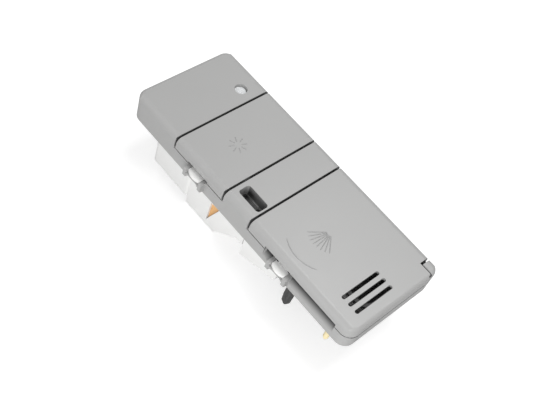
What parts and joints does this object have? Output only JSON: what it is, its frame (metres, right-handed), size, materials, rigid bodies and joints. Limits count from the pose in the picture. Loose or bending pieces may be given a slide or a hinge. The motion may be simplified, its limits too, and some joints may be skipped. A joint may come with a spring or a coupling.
{
  "type": "dishwasher detergent dispenser",
  "caption": "Door-mounted dishwasher dispenser: long rounded grey panel with side-hinged detergent and rinse-aid lids, side push latches and a tank and release actuator behind.",
  "frame": {"origin": "centre of the door seat, on the plane of the skirt's lower rim", "axes": "+Z out of the front face, +Y along the panel towards the level-window end, +X towards the hinge side"},
  "size_m": [0.0946, 0.236, 0.0608],
  "materials": {
    "grey_plastic": "satin moulded",
    "white_plastic": "satin moulded",
    "latch_white": "semi-gloss moulded",
    "clear_window": "clear moulded",
    "rubber": "matt",
    "steel": "plain",
    "tan_plastic": "moulded",
    "tan_winding": "taped winding",
    "brass": "tinned blade",
    "dark_plastic": "moulded",
    "yellow_plastic": "moulded"
  },
  "bodies": {
    "base": {"front_housing": "grey_plastic", "well_cup": "grey_plastic", "filler_collar": "grey_plastic", "rinse_aid_tank": "white_plastic", "actuator_housing": "white_plastic", "lever_guard": "white_plastic", "dosing_cylinder": "white_plastic", "terminal_carrier": "white_plastic", "level_window": "clear_window", "tank_gasket": "rubber", "door_gasket": "rubber", "solenoid_yoke": "steel", "plunger_return_spring": "steel", "lever_pivot_pin": "steel", "detergent_hinge_pin": "steel", "rinse_aid_hinge_pin": "steel", "detergent_lid_spring": "steel", "detergent_latch_spring": "steel", "rinse_aid_latch_spring": "steel", "housing_screws": "steel", "solenoid_bobbin": "tan_plastic", "coil_winding": "tan_winding", "terminal_tabs": "brass", "retaining_pegs": "dark_plastic", "reed_switch": "dark_plastic", "end_locating_pin": "yellow_plastic"},
    "detergent_lid": {"detergent_lid": "grey_plastic", "detergent_lid_seal": "rubber"},
    "rinse_aid_lid": {"rinse_aid_lid": "grey_plastic", "filler_plug_seal": "rubber"},
    "detergent_latch": {"detergent_latch": "latch_white"},
    "rinse_aid_latch": {"rinse_aid_latch": "latch_white"},
    "release_lever": {"release_lever": "white_plastic"},
    "plunger": {"solenoid_plunger": "steel", "dosing_piston": "white_plastic", "piston_seal": "rubber"},
    "dosing_dial": {"dosing_dial": "white_plastic"},
    "level_float": {"level_float": "white_plastic"}
  },
  "joints": [
    {"name": "detergent_lid_hinge", "type": "hinge", "parent": "base", "child": "detergent_lid", "pos_m": [0.04, -0.066, 0.0175], "axis": [0, 1, 0], "range_deg": [0, 100], "deforming": ["detergent_lid_spring"]},
    {"name": "rinse_aid_lid_hinge", "type": "hinge", "parent": "base", "child": "rinse_aid_lid", "pos_m": [0.04, 0.0417, 0.0175], "axis": [0, 1, 0], "range_deg": [0, 100]},
    {"name": "detergent_latch_press", "type": "slide", "parent": "base", "child": "detergent_latch", "axis": [1, 0, 0], "range_m": [0, 0.0025], "stiffness_N_per_m": 250, "deforming": ["detergent_latch_spring"]},
    {"name": "rinse_aid_latch_press", "type": "slide", "parent": "base", "child": "rinse_aid_latch", "axis": [1, 0, 0], "range_m": [0, 0.0025], "stiffness_N_per_m": 250, "deforming": ["rinse_aid_latch_spring"]},
    {"name": "release_lever_swing", "type": "hinge", "parent": "base", "child": "release_lever", "pos_m": [-0.031, -0.014, 0.003], "axis": [0, 0, 1], "range_deg": [0, 4.2]},
    {"name": "plunger_slide", "type": "slide", "parent": "base", "child": "plunger", "axis": [-1, 0, 0], "range_m": [0, 0.0026], "deforming": ["plunger_return_spring"]},
    {"name": "dosing_dial_turn", "type": "hinge", "parent": "base", "child": "dosing_dial", "pos_m": [-0.018, 0.026, 0.012], "axis": [0, 0, 1], "range_deg": [-75, 75]},
    {"name": "level_float_rise", "type": "slide", "parent": "base", "child": "level_float", "axis": [0, 0, 1], "range_m": [0, 0.018]}
  ],
  "couplings": [
    {"joint": "release_lever_swing", "follows": "detergent_latch_press", "rad_per_m": 27.855},
    {"joint": "plunger_slide", "follows": "detergent_latch_press", "ratio": 1.0028}
  ]
}
